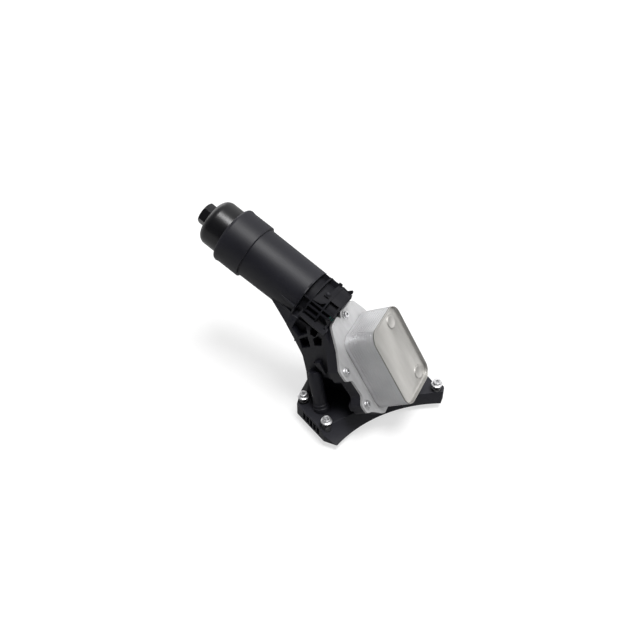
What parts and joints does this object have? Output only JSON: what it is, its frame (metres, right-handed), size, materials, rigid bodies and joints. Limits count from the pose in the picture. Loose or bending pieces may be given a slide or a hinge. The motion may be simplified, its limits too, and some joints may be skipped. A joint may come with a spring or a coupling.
{
  "type": "engine oil cooler with filter housing",
  "caption": "Moulded oil filter housing for an engine block, with a long leaning bowl, a hexagon screw cap and a brazed aluminium plate oil cooler screwed to its sloping pad.",
  "frame": {"origin": "on the engine face, beside the foot of the round riser column on the flange", "axes": "+Z points out of the engine, square to the engine face. The filter bowl leans towards -X. The cooler's long side falls towards +X, and its short side runs along +Y."},
  "size_m": [0.4153, 0.219, 0.303],
  "materials": {
    "black_plastic": "satin glass-filled moulding",
    "gloss_plastic": "smooth moulding",
    "inner_plastic": "plain moulding",
    "black_rubber": "matt",
    "green_rubber": "matt",
    "filter_paper": "pleated paper",
    "base_aluminium": "brazed, satin",
    "plate_aluminium": "brazed, satin",
    "cover_aluminium": "rolled sheet, satin",
    "zinc_steel": "zinc plated",
    "sleeve_steel": "plain turned",
    "spring_steel": "drawn wire"
  },
  "bodies": {
    "housing": {"filter_housing": "black_plastic", "standpipe": "inner_plastic", "cooler_gasket": "green_rubber", "cooler_base_plate": "base_aluminium", "cooler_plate_01": "plate_aluminium", "cooler_plate_02": "plate_aluminium", "cooler_plate_03": "plate_aluminium", "cooler_plate_04": "plate_aluminium", "cooler_plate_05": "plate_aluminium", "cooler_plate_06": "plate_aluminium", "cooler_plate_07": "plate_aluminium", "cooler_plate_08": "plate_aluminium", "cooler_plate_09": "plate_aluminium", "cooler_plate_10": "plate_aluminium", "cooler_plate_11": "plate_aluminium", "cooler_cover_plate": "cover_aluminium", "cooler_screw_1": "zinc_steel", "cooler_screw_2": "zinc_steel", "cooler_screw_3": "zinc_steel", "cooler_screw_4": "zinc_steel", "cooler_screw_5": "zinc_steel", "bolt_sleeve_1": "sleeve_steel", "bolt_sleeve_2": "sleeve_steel", "bolt_sleeve_3": "sleeve_steel", "bolt_sleeve_4": "sleeve_steel", "bolt_sleeve_5": "sleeve_steel", "oil_feed_seal": "green_rubber", "oil_return_seal": "green_rubber", "coolant_out_seal": "green_rubber", "coolant_in_seal": "green_rubber"},
    "filter_insert": {"filter_media": "filter_paper", "filter_upper_end_cap": "inner_plastic", "filter_lower_end_cap": "inner_plastic", "filter_cage": "inner_plastic"},
    "cap": {"filter_cap": "gloss_plastic", "cap_o_ring": "black_rubber", "bypass_valve_body": "inner_plastic", "bypass_valve_spring": "spring_steel"},
    "valve_poppet": {"bypass_valve_poppet": "inner_plastic"},
    "bolt_1": {"mounting_bolt_1": "zinc_steel"},
    "bolt_2": {"mounting_bolt_2": "zinc_steel"},
    "bolt_3": {"mounting_bolt_3": "zinc_steel"},
    "bolt_4": {"mounting_bolt_4": "zinc_steel"},
    "bolt_5": {"mounting_bolt_5": "zinc_steel"}
  },
  "joints": [
    {"name": "cap_lift", "type": "slide", "parent": "housing", "child": "filter_insert", "axis": [-0.9192, 0.1954, 0.342], "range_m": [0, 0.0176]},
    {"name": "cap_turn", "type": "hinge", "parent": "filter_insert", "child": "cap", "pos_m": [-0.0445, 0.057, 0.195], "axis": [-0.9192, 0.1954, 0.342], "range_deg": [0, 1440]},
    {"name": "bypass_valve_lift", "type": "slide", "parent": "cap", "child": "valve_poppet", "axis": [-0.9192, 0.1954, 0.342], "range_m": [0, 0.004], "stiffness_N_per_m": 500, "springref_m": -0.004, "deforming": ["bypass_valve_spring"]},
    {"name": "mounting_bolt_1_slide", "type": "slide", "parent": "housing", "child": "bolt_1", "axis": [0, 0, 1], "range_m": [-0.008, 0]},
    {"name": "mounting_bolt_2_slide", "type": "slide", "parent": "housing", "child": "bolt_2", "axis": [0, 0, 1], "range_m": [-0.008, 0]},
    {"name": "mounting_bolt_3_slide", "type": "slide", "parent": "housing", "child": "bolt_3", "axis": [0, 0, 1], "range_m": [-0.008, 0]},
    {"name": "mounting_bolt_4_slide", "type": "slide", "parent": "housing", "child": "bolt_4", "axis": [0, 0, 1], "range_m": [-0.008, 0]},
    {"name": "mounting_bolt_5_slide", "type": "slide", "parent": "housing", "child": "bolt_5", "axis": [0, 0, 1], "range_m": [-0.008, 0]}
  ],
  "couplings": [
    {"joint": "cap_turn", "follows": "cap_lift", "rad_per_m": 1428}
  ]
}
